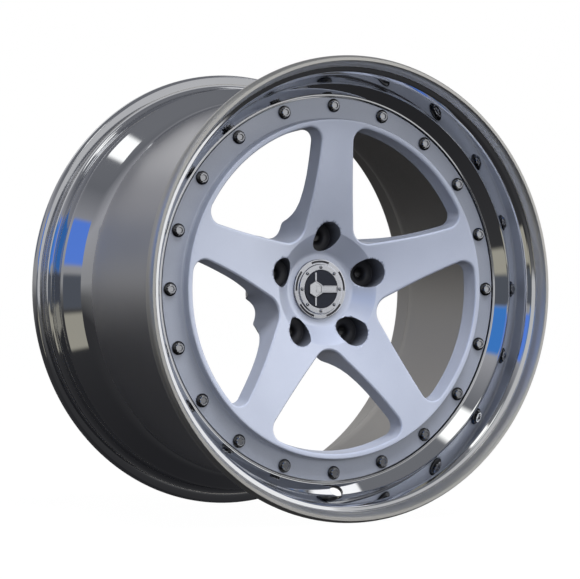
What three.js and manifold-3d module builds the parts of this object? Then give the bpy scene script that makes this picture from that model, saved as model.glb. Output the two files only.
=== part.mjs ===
// A forged three-piece racing wheel rim: a five-spoke centre disc, an outer lip and an inner barrel,
// clamped together by a ring of twenty bolts and nuts, with a pull-off centre cap.
// Millimetres. The wheel's axis is Y, its front faces -Y, up is +Z, and the origin is the wheel's centre.
// Profiles are drawn as [radius, station]: the station is the distance in front of the centre plane.
import * as THREE from "three";
import { mergeVertices } from "three/addons/utils/BufferGeometryUtils.js";
import Module from "manifold-3d";

// ---- Driving dimensions ----
const gap = 0.3; // between pieces that touch

// Rim: the two bead seats and flanges
const seatRadius = 231; // of the bead seats, at the flange
const seatTaper = Math.tan(THREE.MathUtils.degToRad(5));
const seatLength = 22; // of each bead seat, up to its hump
const seatFillet = 3.5; // between a seat and its flange
const innerWidth = 266.7; // between the two flanges
const flangeHeight = 17.3; // from the seat to the edge of the flange
const flangeThickness = 15.65; // of each rolled flange, along the axis
const flangeCorner = 3.6; // bevel of the flange's outer edge
const flangeEdge = 5; // from the flange's tyre face to the straight part of its edge
const humpHeight = 1.5; // of the safety hump, above the seat
const humpWidth = 6.5;

// Bolted joint of disc, lip and barrel
const boltCount = 20;
const boltCircle = 198.2; // radius
const boltThread = 8; // diameter
const boltHoleClearance = 0.5; // between a bolt and its hole, all round
const boltFlangeOverhang = 3; // of a bolt's flange past its thread
const boltFlangeThickness = 1.8;
const boltHeadOverhang = 0.7; // of a bolt's head past its thread
const boltHeadHeight = 2.9; // above its flange
const boltTail = 1.6; // of thread past its nut
const nutOverhang = 2.6; // of a nut's corners past the thread
const nutFlangeOverhang = 3.2;
const nutHeight = 7.5;
const landSetback = 39.35; // of the disc's bolting land, behind the front flange's inner face
const discFlange = 9; // thickness at the bolts
const lipFlange = 6;
const barrelFlange = 6;
const boltInnerMargin = 9.2; // from the bolt circle to the bore of the lip's and barrel's flanges
const boltOuterMargin = 8.7; // from the bolt circle to the disc's edge

// Lip
const lipWall = 4.5;
const lipSetback = 1.4; // between the disc's edge and the lip
const lipLedge = 2.2; // flat of the lip beside the disc
const lipLedgeRise = 0.9; // of that flat in front of the disc's land
const lipStepRun = 11.9; // of the steep step outside the ledge, outwards
const lipStepRise = 10.3; // of the same step, forwards
const throatInset = 2.2; // of the wall's front end, inside the bead seat
const throatSetback = 2.35; // of the wall's front end, behind the flange's inner face
const valveHoleRadius = 7.4;
const valveHoleAngle = -90; // degrees, straight down

// Barrel
const wellWall = 4.5;
const wellMargin = 12.8; // from the bolt circle to the outside of the drop centre
const wellChamfer = 3;
const rampRise = 3.5; // of the drop centre, from its floor to the foot of the rear ramp
const rampSetback = 49.35; // of the foot of the rear ramp, in front of the rear flange
const rampLength = 22; // of the gentle rise that leads to the ramp
const mouthLip = 4.5; // of the rear opening, outside the bead seat
const sealWidth = 4.5;

// Centre disc
const spokeCount = 5;
const faceMargin = 15.2; // from the bolt circle in to the outside of the raised face
const faceHeight = 12.5; // of the raised face's rim, in front of the land
const faceFillet = 3;
const faceBulge = 3.2; // of the shallow arc along the front of a spoke
const windowRim = 6; // between the windows and the outside of the face
const windowRimDepth = 21; // thickness of the face at the windows' outer edge
const windowCorner = 14; // radius of the two outer corners
const windowApex = 20; // radius of the inner corner
const spokeTipInset = 23; // from the windows' outer edge to where a spoke is measured
const spokeTipHalf = 20.4; // half width of a spoke there
const spokeGrowth = 7.5; // of the half width, from there to the spoke's root
const rootMargin = 9; // from the hub pad to a spoke's root
const hubDepth = 54; // of the hub pad, behind the land
const padMargin = 18.85; // from the stud circle to the edge of the hub pad
const padChamfer = 5;
const hubBoreRadius = 33.05;
const hubBoreDepth = 11;
// The rear of a spoke, from the windows' outer edge to the hub pad: shares of the way out and forwards.
const spokeRear = [
  [0.78, 0.94],
  [0.485, 0.845],
  [0.32, 0.755],
  [0.2, 0.655],
  [0.11, 0.5],
  [0.04, 0.31],
];

// Wheel-stud holes
const lugCircle = 57.15; // radius, a 114.3 pattern
const lugPocketRadius = 15.75;
const lugSeatDepth = 13.5; // from the hub pad to the foot of the pocket
const lugConeDepth = 6;
const lugConeRun = 4.35; // from the stud hole out to the foot of the pocket
const studHoleRadius = 7.4;

// Centre cap and the dish round it
const capBoreRadius = 29.6;
const capSeatHeight = 24; // of the flat that the cap rests on, in front of the hub pad
const capOverlap = 3.1; // of the cap's ring past the bore
const capSeatMargin = 7.8; // of the flat round the cap
const dishRun = 20.5; // of the cone round that flat, outwards
const dishRise = 19.3; // of the same cone, forwards
const capStepInset = 2.7; // of the ring's raised step, inside the bore
const capRise = 2.4; // of the outer step
const capInnerRise = 4.2; // of the inner step
const capStepWidth = 6.3; // of the inner step
const capPlugClearance = 1; // between the plug's rear and the step to the hub bore
const capPlugWall = 4;
const capPlugFloor = 4.4; // thickness of the plug's front
const capShelf = 0.6; // of the plug's front, in front of the seat
const capScrewCount = 8;
const capScrewHead = 1.9; // radius
const capScrewShank = 1;
const capScrewHeadHeight = 1.1;
const capScrewLength = 4.6;
const carbonThickness = 3.9;
const carbonChamfer = 1;
const badgeThickness = 1.2;
const badgeStep = 0.8; // thickness of the bar and band, under the hexagon
const badgeHex = 9.3; // radius to a corner
const badgeShift = -7.3; // of the hexagon, along X
const badgeBar = 2.2; // width of the upright bar
const badgeBand = 8; // width of the cross band
const badgeMargin = 0.6; // from the badge to the edge of the carbon disc
const snapRingSection = 1; // radius of the wire
const snapRingSetback = 8; // of the wire's groove, behind the cap's seat

// Facets
const roundSteps = 40;
const smallSteps = 8;
const lugSteps = 16;
const capSteps = 32;
const wireSteps = 6;
const overcut = 20; // of a cutter past what it cuts

// ---- Materials ----
const metal = (name, color, roughness) => {
  const material = new THREE.MeshStandardMaterial({ color, roughness, metalness: 1 });
  material.name = name;
  return material;
};
const paint = (name, color, roughness, metalness = 0) => {
  const material = new THREE.MeshStandardMaterial({ color, roughness, metalness });
  material.name = name;
  return material;
};

// ---- Solids ----
const wasm = await Module();
wasm.setup();

function solid(geometry) {
  const plain = geometry.clone();
  plain.deleteAttribute("normal");
  plain.deleteAttribute("uv");
  const merged = mergeVertices(plain, 1e-3);
  return new wasm.Manifold(
    new wasm.Mesh({
      numProp: 3,
      vertProperties: merged.attributes.position.array,
      triVerts: new Uint32Array(merged.index.array),
    }),
  );
}

function geometryOf(manifold) {
  const { vertProperties, triVerts } = manifold.getMesh();
  const geometry = new THREE.BufferGeometry();
  geometry.setAttribute("position", new THREE.BufferAttribute(new Float32Array(vertProperties), 3));
  geometry.setIndex(new THREE.BufferAttribute(new Uint32Array(triVerts), 1));
  geometry.computeVertexNormals();
  return geometry;
}

const cutAll = (body, tools) => tools.reduce((left, tool) => left.subtract(tool), body);
const joinAll = (bodies) => bodies.reduce((left, body) => left.add(body));

// Twice the signed area of a closed outline, positive when it runs anticlockwise.
const turn = (points) =>
  points.reduce((sum, [x, y], i) => {
    const [nextX, nextY] = points[(i + 1) % points.length];
    return sum + x * nextY - nextX * y;
  }, 0);

// A ring or a solid of revolution about Y, from a closed outline of [radius, station].
function revolve(outline, steps = roundSteps) {
  const profile = outline.map(([radius, station]) => [radius, -station]);
  const ordered = turn(profile) > 0 ? profile : profile.reverse();
  const onAxis = ordered.filter(([radius]) => radius === 0).length === 2;
  let points = ordered;
  if (onAxis) {
    const start = ordered.findIndex(
      ([radius], i) => radius === 0 && ordered[(i + ordered.length - 1) % ordered.length][0] === 0,
    );
    points = [...ordered.slice(start), ...ordered.slice(0, start)];
  } else {
    points = [...ordered, ordered[0]];
  }
  return new THREE.LatheGeometry(points.map(([x, y]) => new THREE.Vector2(x, y)), steps);
}

// A prism along the axis, from a closed outline of [x, z], between two stations.
function prism(outline, back, front) {
  const shape = new THREE.Shape(outline.map(([x, z]) => new THREE.Vector2(x, z)));
  const geometry = new THREE.ExtrudeGeometry(shape, { depth: front - back, bevelEnabled: false });
  return geometry.translate(0, 0, back).rotateX(Math.PI / 2);
}

// A small turned piece whose own axis is moved off the wheel's axis by [x, z].
const turned = (outline, steps, [x, z]) => revolve(outline, steps).translate(x, 0, z);

const onCircle = (radius, degrees) => {
  const angle = THREE.MathUtils.degToRad(degrees);
  return [radius * Math.cos(angle), radius * Math.sin(angle)];
};
const around = (count, start = 90) => Array.from({ length: count }, (_, i) => start + (360 / count) * i);

// Points of an arc that rounds each corner of an outline; a corner without a radius stays sharp.
function roundCorners(corners, steps = 5) {
  const at = (i) => new THREE.Vector2(...corners[(i + corners.length) % corners.length].point);
  return corners.flatMap(({ point, radius = 0 }, i) => {
    if (!radius) return [point];
    const corner = at(i);
    const before = at(i - 1).sub(corner).normalize();
    const after = at(i + 1).sub(corner).normalize();
    const half = Math.acos(before.dot(after)) / 2;
    const inwards = before.clone().add(after).normalize();
    const centre = inwards.multiplyScalar(radius / Math.sin(half)).add(corner);
    const from = before.multiplyScalar(radius / Math.tan(half)).add(corner).sub(centre);
    const to = after.multiplyScalar(radius / Math.tan(half)).add(corner).sub(centre);
    const sweep = Math.atan2(from.cross(to), from.dot(to));
    return Array.from({ length: steps + 1 }, (_, k) => {
      const spot = from.clone().rotateAround(new THREE.Vector2(), (sweep * k) / steps).add(centre);
      return [spot.x, spot.y];
    });
  });
}

// ---- Radii and stations worked out from the driving dimensions ----
const flangeRadius = seatRadius + flangeHeight;
const flangeFace = innerWidth / 2;
const overall = flangeFace + flangeThickness;
const landStation = flangeFace - landSetback;
const discBack = landStation - discFlange;
const lipFront = discBack - gap;
const lipBack = lipFront - lipFlange;
const barrelFront = lipBack - gap;
const barrelBack = barrelFront - barrelFlange;
const boltHole = boltThread / 2 + boltHoleClearance;
const discRadius = boltCircle + boltOuterMargin;
const flangeBore = boltCircle - boltInnerMargin;
const wellRadius = boltCircle + wellMargin;
const faceRadius = boltCircle - faceMargin;
const faceStation = landStation + faceHeight;
const windowRadius = faceRadius - windowRim;
const padStation = landStation - hubDepth;
const padRadius = lugCircle + padMargin;
const spokeTip = windowRadius - spokeTipInset;
const spokeRoot = padRadius + rootMargin;
const capSeat = padStation + capSeatHeight;
const capRadius = capBoreRadius + capOverlap;
const capStepRadius = capBoreRadius - capStepInset;
const capFaceRadius = capStepRadius - capStepWidth;
const capScrewCircle = (capStepRadius + capFaceRadius) / 2;
const dishFoot = capRadius + capSeatMargin;

const place = new THREE.Group();
function add(name, geometry, material, parent = place) {
  const mesh = new THREE.Mesh(geometry, material);
  mesh.name = name;
  parent.add(mesh);
  return mesh;
}

// Cutters on the bolt circle, long enough for every flange.
const boltCutters = around(boltCount).map((degrees) =>
  solid(
    turned(
      [
        [0, barrelBack - overcut],
        [boltHole, barrelBack - overcut],
        [boltHole, landStation + overcut],
        [0, landStation + overcut],
      ],
      smallSteps,
      onCircle(boltCircle, degrees),
    ),
  ),
);

// The tyre side of a rim flange, from its front edge round to its bead seat and hump.
// side is 1 for the front and -1 for the rear.
function tyreSide(side, edge) {
  const seatEnd = flangeFace - seatLength;
  const seatFoot = seatRadius - seatLength * seatTaper;
  const outline = [
    [flangeRadius - flangeCorner, edge],
    [flangeRadius, edge - flangeCorner],
    [flangeRadius, flangeFace + flangeEdge],
    [flangeRadius - flangeEdge * 0.36, flangeFace + flangeEdge * 0.28],
    [flangeRadius - flangeEdge * 1.54, flangeFace],
    [seatRadius + seatFillet, flangeFace],
    [seatRadius, flangeFace - seatFillet],
    [seatFoot, seatEnd],
    [seatFoot + humpHeight, seatEnd - humpWidth / 2],
    [seatFoot, seatEnd - humpWidth],
  ];
  return outline.map(([radius, station]) => [radius, side * station]);
}

// ---- Outer lip ----
function outerLip() {
  const wallFoot = discRadius + lipSetback;
  const ledge = landStation + lipLedgeRise;
  const stepFoot = wallFoot + lipLedge;
  const shoulderRadius = stepFoot + lipStepRun;
  const shoulder = ledge + lipStepRise;
  const throatRadius = seatRadius - throatInset;
  const throat = flangeFace - throatSetback;
  const bevel = 0.6;
  const rise = new THREE.Vector2(lipStepRun, lipStepRise).normalize();
  const outside = (radius, station) => [radius + rise.y * lipWall, station - rise.x * lipWall];
  const body = solid(
    revolve([
      [flangeBore, lipFront],
      [wallFoot, lipFront],
      [wallFoot, ledge - bevel],
      [wallFoot + bevel, ledge],
      [stepFoot, ledge],
      [shoulderRadius, shoulder],
      [throatRadius, throat],
      [throatRadius + 3, throat + 4.8],
      [throatRadius + 8.2, throat + 6.3],
      [flangeRadius - 9.6, overall - 8],
      [flangeRadius - 8.2, overall - 3.4],
      [flangeRadius - 5.6, overall],
      ...tyreSide(1, overall),
      outside(shoulderRadius, shoulder),
      outside(stepFoot, ledge),
      [stepFoot + rise.y * lipWall - bevel, lipBack],
      [flangeBore, lipBack],
    ]),
  );
  // The valve hole is square to the steep step, just past halfway up it.
  const [x, z] = onCircle(1, valveHoleAngle);
  const upStep = 0.56;
  const holeRadius = stepFoot + lipStepRun * upStep;
  const holeStation = ledge + lipStepRise * upStep;
  const drillLength = 40;
  const drill = new THREE.CylinderGeometry(valveHoleRadius, valveHoleRadius, drillLength, 20);
  const outwards = new THREE.Vector3(x * rise.y, rise.x, z * rise.y);
  drill.applyQuaternion(new THREE.Quaternion().setFromUnitVectors(new THREE.Vector3(0, 1, 0), outwards));
  drill.translate(x * holeRadius, -holeStation, z * holeRadius);
  return geometryOf(cutAll(body, [...boltCutters, solid(drill)]));
}
add("outer_lip", outerLip(), metal("polished_lip", 0xb9bcc2, 0.08));

// ---- Inner barrel ----
function innerBarrel() {
  const inside = wellRadius - wellWall;
  const seatInside = seatRadius - seatLength * seatTaper - wellWall;
  const humpEnd = -(flangeFace - seatLength - humpWidth);
  const footRadius = wellRadius + rampRise;
  const foot = -(flangeFace - rampSetback);
  const wellEnd = foot + rampLength;
  const rearMouth = seatRadius + mouthLip;
  const body = solid(
    revolve([
      [flangeBore, barrelFront],
      [wellRadius - wellChamfer, barrelFront],
      [wellRadius, barrelFront - wellChamfer],
      [wellRadius, wellEnd],
      [wellRadius + rampRise / 4, (wellEnd + foot) / 2],
      [footRadius, foot],
      ...tyreSide(-1, overall).reverse(),
      [rearMouth + 2, -overall],
      [rearMouth, -overall + 1.6],
      [seatRadius - 0.5, -overall + 8],
      [seatInside + 1, -flangeFace + 1],
      [seatInside, humpEnd],
      [footRadius - wellWall + 0.6, foot + 1],
      [inside + 0.8, (wellEnd + foot) / 2],
      [inside, wellEnd + 4],
      [inside, barrelBack],
      [flangeBore, barrelBack],
    ]),
  );
  return geometryOf(cutAll(body, boltCutters));
}
add("inner_barrel", innerBarrel(), metal("satin_barrel", 0x8d9098, 0.35));

// The bead of sealant in the corner between the barrel and the lip, on the tyre's side.
add(
  "seal_ring",
  revolve([
    [wellRadius - wellChamfer + 0.5, barrelFront],
    [wellRadius + 2, barrelFront],
    [wellRadius + 1.2, barrelFront - sealWidth + 1],
    [wellRadius + gap, barrelFront - sealWidth],
    [wellRadius + gap, barrelFront - wellChamfer],
  ]),
  paint("sealant", 0x2b2c2e, 0.7),
);

// ---- Centre disc ----
// Half width of a spoke at a distance along it from the wheel's axis.
function spokeHalf(along) {
  const inwards = (spokeTip - along) / (spokeTip - spokeRoot);
  return spokeTipHalf + (spokeGrowth * (inwards + inwards * Math.abs(inwards))) / 2;
}

// The outline of one window, between the spoke at fromSpoke and the next one anticlockwise.
function windowOutline(fromSpoke) {
  const pitch = 360 / spokeCount;
  const side = (along, spoke, hand) => {
    const [x, z] = onCircle(1, spoke);
    const half = spokeHalf(along) * hand;
    return [x * along - z * half, z * along + x * half];
  };
  const rimHalf = spokeHalf(windowRadius);
  const tipAlong = Math.sqrt(windowRadius ** 2 - rimHalf ** 2);
  const tipAngle = THREE.MathUtils.radToDeg(Math.asin(rimHalf / windowRadius));
  // At its root a spoke's edge turns straight, and the two edges of a window meet at the inner corner.
  const slope = (1.5 * spokeGrowth) / (spokeTip - spokeRoot);
  const halfPitch = THREE.MathUtils.degToRad(pitch / 2);
  const apex =
    (spokeHalf(spokeRoot) + slope * spokeRoot) / (Math.sin(halfPitch) + slope * Math.cos(halfPitch));
  // The rim's points keep clear of the two rounded corners.
  const rimStart = tipAngle + THREE.MathUtils.radToDeg((1.6 * windowCorner) / windowRadius);
  const rimSteps = 8;
  const rim = Array.from({ length: rimSteps + 1 }, (_, i) => ({
    point: onCircle(windowRadius, fromSpoke + rimStart + ((pitch - 2 * rimStart) * i) / rimSteps),
  }));
  const middle = (windowRadius + spokeRoot) / 2;
  return roundCorners([
    { point: side(tipAlong, fromSpoke, 1), radius: windowCorner },
    ...rim,
    { point: side(tipAlong, fromSpoke + pitch, -1), radius: windowCorner },
    { point: side(middle, fromSpoke + pitch, -1) },
    { point: side(spokeRoot, fromSpoke + pitch, -1) },
    { point: onCircle(apex, fromSpoke + pitch / 2), radius: windowApex },
    { point: side(spokeRoot, fromSpoke, 1) },
    { point: side(middle, fromSpoke, 1) },
  ]);
}

function centreDisc() {
  const dishTop = dishFoot + dishRun;
  const dishEdge = capSeat + dishRise;
  // The front of the spokes is a shallow arc that rises from the dished centre to the rim of the face.
  const arcSteps = 5;
  const arc = Array.from({ length: arcSteps }, (_, i) => {
    const share = (i + 1) / arcSteps;
    const radius = THREE.MathUtils.lerp(dishTop, faceRadius - 1, share);
    const station = THREE.MathUtils.lerp(dishEdge, faceStation, share);
    return [radius, station + faceBulge * Math.sin(Math.PI * share)];
  });
  const rear = spokeRear.map(([out, forwards]) => [
    THREE.MathUtils.lerp(padRadius, windowRadius, out),
    THREE.MathUtils.lerp(padStation, discBack, forwards),
  ]);
  const body = solid(
    revolve([
      [hubBoreRadius, padStation],
      [hubBoreRadius, padStation + hubBoreDepth],
      [capBoreRadius, padStation + hubBoreDepth],
      [capBoreRadius, capSeat],
      [dishFoot, capSeat],
      [dishTop, dishEdge],
      ...arc,
      [faceRadius, faceStation - 1],
      [faceRadius, landStation + faceFillet],
      [faceRadius + faceFillet, landStation],
      [discRadius, landStation],
      [discRadius, discBack],
      [faceRadius, discBack],
      [windowRadius - 4, faceStation - windowRimDepth],
      ...rear,
      [padRadius, padStation + padChamfer],
      [padRadius - 1, padStation],
    ]),
  );
  const spokes = around(spokeCount);
  const windows = spokes.map((spoke) =>
    solid(prism(windowOutline(spoke), padStation - overcut, faceStation + overcut)),
  );
  const lugs = spokes.map((spoke) =>
    solid(
      turned(
        [
          [0, padStation - overcut],
          [studHoleRadius, padStation - overcut],
          [studHoleRadius, padStation + lugSeatDepth - lugConeDepth],
          [studHoleRadius + lugConeRun, padStation + lugSeatDepth],
          [lugPocketRadius, padStation + lugSeatDepth],
          [lugPocketRadius, faceStation + overcut],
          [0, faceStation + overcut],
        ],
        lugSteps,
        onCircle(lugCircle, spoke),
      ),
    ),
  );
  return geometryOf(cutAll(body, [...windows, ...lugs, ...boltCutters]));
}
add("centre_disc", centreDisc(), paint("silver_lacquer", 0xb3b9c9, 0.25, 0.6));

// ---- Assembly bolts and nuts ----
const boltFoot = landStation + gap;
const headFoot = boltFoot + boltFlangeThickness;
const headTop = headFoot + boltHeadHeight;
const nutFace = barrelBack - gap;
const boltEnd = nutFace - nutHeight - boltTail;
const shank = boltThread / 2;
const chrome = metal("chrome", 0xd0d2d6, 0.12);
const zinc = metal("zinc_nuts", 0x9a9c9f, 0.4);
around(boltCount).forEach((degrees, i) => {
  const number = String(i + 1).padStart(2, "0");
  const spot = onCircle(boltCircle, degrees);
  add(
    `assembly_bolt_${number}`,
    turned(
      [
        [0, boltEnd],
        [shank, boltEnd],
        [shank, boltFoot],
        [shank + boltFlangeOverhang, boltFoot],
        [shank + boltFlangeOverhang, headFoot],
        [shank + boltHeadOverhang, headFoot],
        [shank + boltHeadOverhang, headTop],
        [0, headTop],
      ],
      smallSteps,
      spot,
    ),
    chrome,
  );
  add(
    `assembly_nut_${number}`,
    turned(
      [
        [shank + gap, nutFace],
        [shank + nutFlangeOverhang, nutFace],
        [shank + nutOverhang, nutFace - nutHeight],
        [shank + gap, nutFace - nutHeight],
      ],
      smallSteps,
      spot,
    ),
    zinc,
  );
});

// ---- Centre cap: a plug, a stepped ring, a carbon disc, a badge and eight screws ----
const cap = new THREE.Group();
place.add(cap);
const capFoot = capSeat + gap;
const ringTop = capSeat + capInnerRise;
const shelf = capSeat + capShelf;
const plugRadius = capBoreRadius - gap;
const plugBack = padStation + hubBoreDepth + capPlugClearance;
const ringFoot = plugRadius + 0.6; // inner edge of the ring's seat, round the plug
const snapRingStation = capSeat - snapRingSetback;
const screwSpots = around(capScrewCount).map((degrees) => onCircle(capScrewCircle, degrees));
const screwHole = (spot, back, front) =>
  solid(
    turned(
      [
        [0, back],
        [capScrewShank + gap, back],
        [capScrewShank + gap, front],
        [0, front],
      ],
      smallSteps,
      spot,
    ),
  );

function capPlug() {
  const groove = snapRingSection + gap;
  const grooveFloor = plugRadius - 2 * snapRingSection - gap;
  const body = solid(
    revolve(
      [
        [0, shelf],
        [plugRadius - 0.6, shelf],
        [plugRadius, shelf - 0.6],
        [plugRadius, snapRingStation + groove],
        [grooveFloor, snapRingStation + groove],
        [grooveFloor, snapRingStation - groove],
        [plugRadius, snapRingStation - groove],
        [plugRadius - 0.8, plugBack],
        [plugRadius - capPlugWall, plugBack],
        [plugRadius - capPlugWall, shelf - capPlugFloor],
        [0, shelf - capPlugFloor],
      ],
      capSteps,
    ),
  );
  const holes = screwSpots.map((spot) => screwHole(spot, ringTop - capScrewLength - gap, shelf + overcut));
  return geometryOf(cutAll(body, holes));
}
add("cap_body", capPlug(), paint("cap_plastic", 0x3a3b3e, 0.5), cap);

function capRing() {
  const under = shelf + gap;
  const body = solid(
    revolve(
      [
        [ringFoot, capFoot],
        [capRadius, capFoot],
        [capRadius, capSeat + capRise - 1.1],
        [capRadius - 1, capSeat + capRise],
        [capStepRadius + 0.5, capSeat + capRise],
        [capStepRadius, capSeat + capRise + 0.4],
        [capStepRadius - 0.4, ringTop],
        [capFaceRadius + gap, ringTop],
        [capFaceRadius + gap, under],
        [ringFoot, under],
      ],
      capSteps,
    ),
  );
  const holes = screwSpots.map((spot) => screwHole(spot, capSeat - overcut, ringTop + overcut));
  return geometryOf(cutAll(body, holes));
}
add("cap_ring", capRing(), metal("satin_silver", 0xc9ccd2, 0.3), cap);

const carbonBack = shelf + gap;
const carbonFront = carbonBack + carbonThickness;
add(
  "cap_carbon_disc",
  revolve(
    [
      [0, carbonBack],
      [capFaceRadius - carbonChamfer, carbonBack],
      [capFaceRadius, carbonBack + carbonChamfer],
      [capFaceRadius, carbonFront],
      [0, carbonFront],
    ],
    capSteps,
  ),
  paint("carbon_weave", 0x17181b, 0.3),
  cap,
);

// The badge: a plain hexagon, an upright bar behind it and a cross band that runs to the right.
function capBadge() {
  const back = carbonFront + gap;
  const reach = (offset) => Math.sqrt((capFaceRadius - badgeMargin) ** 2 - offset ** 2);
  const barEnd = reach(Math.abs(badgeShift) + badgeBar / 2);
  const bandEnd = reach(badgeBand / 2);
  const hexagon = around(6).map((degrees) => {
    const [x, z] = onCircle(badgeHex, degrees);
    return [x + badgeShift, z];
  });
  const rectangle = (left, right, low, high) => [
    [left, low],
    [right, low],
    [right, high],
    [left, high],
  ];
  return geometryOf(
    joinAll([
      solid(prism(hexagon, back, back + badgeThickness)),
      solid(
        prism(
          rectangle(badgeShift - badgeBar / 2, badgeShift + badgeBar / 2, -barEnd, barEnd),
          back,
          back + badgeStep,
        ),
      ),
      solid(
        prism(
          rectangle(badgeShift, bandEnd, -badgeBand / 2, badgeBand / 2),
          back,
          back + badgeStep,
        ),
      ),
    ]),
  );
}
add("cap_badge", capBadge(), metal("badge_silver", 0xd7dade, 0.2), cap);

const steel = metal("steel_screws", 0xa8aaad, 0.3);
const screwSeat = ringTop + gap;
screwSpots.forEach((spot, i) => {
  add(
    `cap_screw_${i + 1}`,
    turned(
      [
        [0, ringTop - capScrewLength],
        [capScrewShank, ringTop - capScrewLength],
        [capScrewShank, screwSeat],
        [capScrewHead, screwSeat],
        [capScrewHead, screwSeat + capScrewHeadHeight * 0.6],
        [capScrewHead * 0.6, screwSeat + capScrewHeadHeight],
        [0, screwSeat + capScrewHeadHeight],
      ],
      smallSteps,
      spot,
    ),
    steel,
    cap,
  );
});

// The wire ring in the plug's groove, which springs against the bore.
const snapRing = Array.from({ length: wireSteps }, (_, i) => {
  const angle = (2 * Math.PI * (i + 0.5)) / wireSteps;
  const centre = plugRadius - snapRingSection;
  return [
    centre + snapRingSection * Math.cos(angle),
    snapRingStation + snapRingSection * Math.sin(angle),
  ];
});
add("cap_snap_ring", revolve(snapRing, capSteps), metal("spring_wire", 0x8a8c8f, 0.35), cap);

export default place;
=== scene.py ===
# %% [markdown]
# A three-piece racing wheel, finished for the camera. The design loads as a fixed frame of
# separate nodes. This lesson makes the fine surface of every piece: the forged centre
# disc, the polished lip, the barrel, the bolts and nuts, and the centre cap. Each piece
# is modelled anew in the place of its node, because a faceted mesh reflects in bands.
# Lengths are written in millimetres and turned into metres where a mesh is made.

# %% Load the frame
import math

import bmesh
import bpy
from mathutils import Matrix, Vector


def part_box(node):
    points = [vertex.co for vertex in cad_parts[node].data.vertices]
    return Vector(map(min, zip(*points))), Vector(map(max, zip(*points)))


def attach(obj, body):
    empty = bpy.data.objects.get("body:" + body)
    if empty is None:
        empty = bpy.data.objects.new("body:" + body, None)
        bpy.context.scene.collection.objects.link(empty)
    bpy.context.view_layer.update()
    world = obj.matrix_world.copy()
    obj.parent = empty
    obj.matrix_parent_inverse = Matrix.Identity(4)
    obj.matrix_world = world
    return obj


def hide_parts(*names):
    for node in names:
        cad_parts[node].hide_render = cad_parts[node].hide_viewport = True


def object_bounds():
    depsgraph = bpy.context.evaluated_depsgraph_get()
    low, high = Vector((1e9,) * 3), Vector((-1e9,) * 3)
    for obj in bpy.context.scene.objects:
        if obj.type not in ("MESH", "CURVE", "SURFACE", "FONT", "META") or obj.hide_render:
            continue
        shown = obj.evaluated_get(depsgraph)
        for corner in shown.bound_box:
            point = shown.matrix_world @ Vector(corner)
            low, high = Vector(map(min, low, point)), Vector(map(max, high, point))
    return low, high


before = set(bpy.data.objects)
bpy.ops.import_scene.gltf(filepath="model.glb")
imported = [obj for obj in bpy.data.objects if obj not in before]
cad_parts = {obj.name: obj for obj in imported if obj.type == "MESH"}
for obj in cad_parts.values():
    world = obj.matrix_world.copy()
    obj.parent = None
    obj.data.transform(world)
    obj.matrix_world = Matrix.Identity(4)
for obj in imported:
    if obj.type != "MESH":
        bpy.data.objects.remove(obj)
cad_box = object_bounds()
MM = 0.001

# %% [markdown]
# The wheel's axis is Y and its front faces -Y. A wheel maker draws a rim as a profile of
# radius and station, where the station is the distance in front of the wheel's middle.
# The main radii and stations are read from the frame, so each finished piece fits its node.

# %% Read the wheel's sizes from the frame
def radius_of(node):
    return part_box(node)[1].x / MM


def front_of(node):
    return -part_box(node)[0].y / MM


def back_of(node):
    return -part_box(node)[1].y / MM


def spot_of(node):
    low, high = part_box(node)
    middle = (low + high) / 2 / MM
    return middle.x, middle.z


flange_radius = radius_of("outer_lip")
overall = front_of("outer_lip")
disc_radius = radius_of("centre_disc")
face = front_of("centre_disc")
pad = back_of("centre_disc")
bolt_head = 5
land = front_of("assembly_bolt_01") - bolt_head
bolt_names = [f"assembly_bolt_{i:02d}" for i in range(1, 21)]
nut_names = [f"assembly_nut_{i:02d}" for i in range(1, 21)]
screw_names = [f"cap_screw_{i}" for i in range(1, 9)]
print(f"flange {flange_radius:.1f}, half width {overall:.1f}, disc {disc_radius:.1f}, face {face:.1f}")
print(f"land {land:.1f}, pad {pad:.1f}")

# %% [markdown]
# A turned part shows a small round on every corner, because the tool has one and because
# a sharp edge would cut the fitter's hand. Each corner of a profile is written as radius,
# station and the length that the round takes off each side. A short arc replaces it.
# A Bevel modifier could round the edges too, but the arc follows each corner's own size.

# %% Round the corners of a profile
arc_steps = 5


def rounded(corners, closed=True):
    points = []
    count = len(corners)
    for i, (radius, station, *cut) in enumerate(corners):
        here = Vector((radius, station))
        if not cut or not cut[0] or (not closed and i in (0, count - 1)):
            points.append(here)
            continue
        before = (Vector(corners[i - 1][:2]) - here).normalized() * cut[0] + here
        after = (Vector(corners[(i + 1) % count][:2]) - here).normalized() * cut[0] + here
        for k in range(arc_steps + 1):
            t = k / arc_steps
            points.append(before.lerp(here, t).lerp(here.lerp(after, t), t))
    return points


# %% [markdown]
# A lathe part is one profile spun a full turn about its axis. A Screw modifier would do it
# too, but the operator leaves a plain mesh that can be cut and sorted into finishes.
# A profile that starts on the axis stays open, because the spin closes it there.

# %% Spin a profile
def loop_of(bm, points, at=(0, 0)):
    verts = [bm.verts.new(((p.x + at[0]) * MM, -p.y * MM, at[1] * MM)) for p in points]
    edges = [bm.edges.new(pair) for pair in zip(verts, verts[1:])]
    if points[0].x > 0:
        edges.append(bm.edges.new((verts[-1], verts[0])))
    return edges


def spin_about(bm, edges, steps, at=(0, 0)):
    bmesh.ops.spin(
        bm,
        geom=edges,
        cent=(at[0] * MM, 0, at[1] * MM),
        axis=(0, 1, 0),
        angle=2 * math.pi,
        steps=steps,
        use_merge=True,
    )
    bmesh.ops.remove_doubles(bm, verts=bm.verts, dist=1e-6)


def turn(bm, corners, steps, at=(0, 0)):
    spin_about(bm, loop_of(bm, rounded(corners), at), steps, at)


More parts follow.
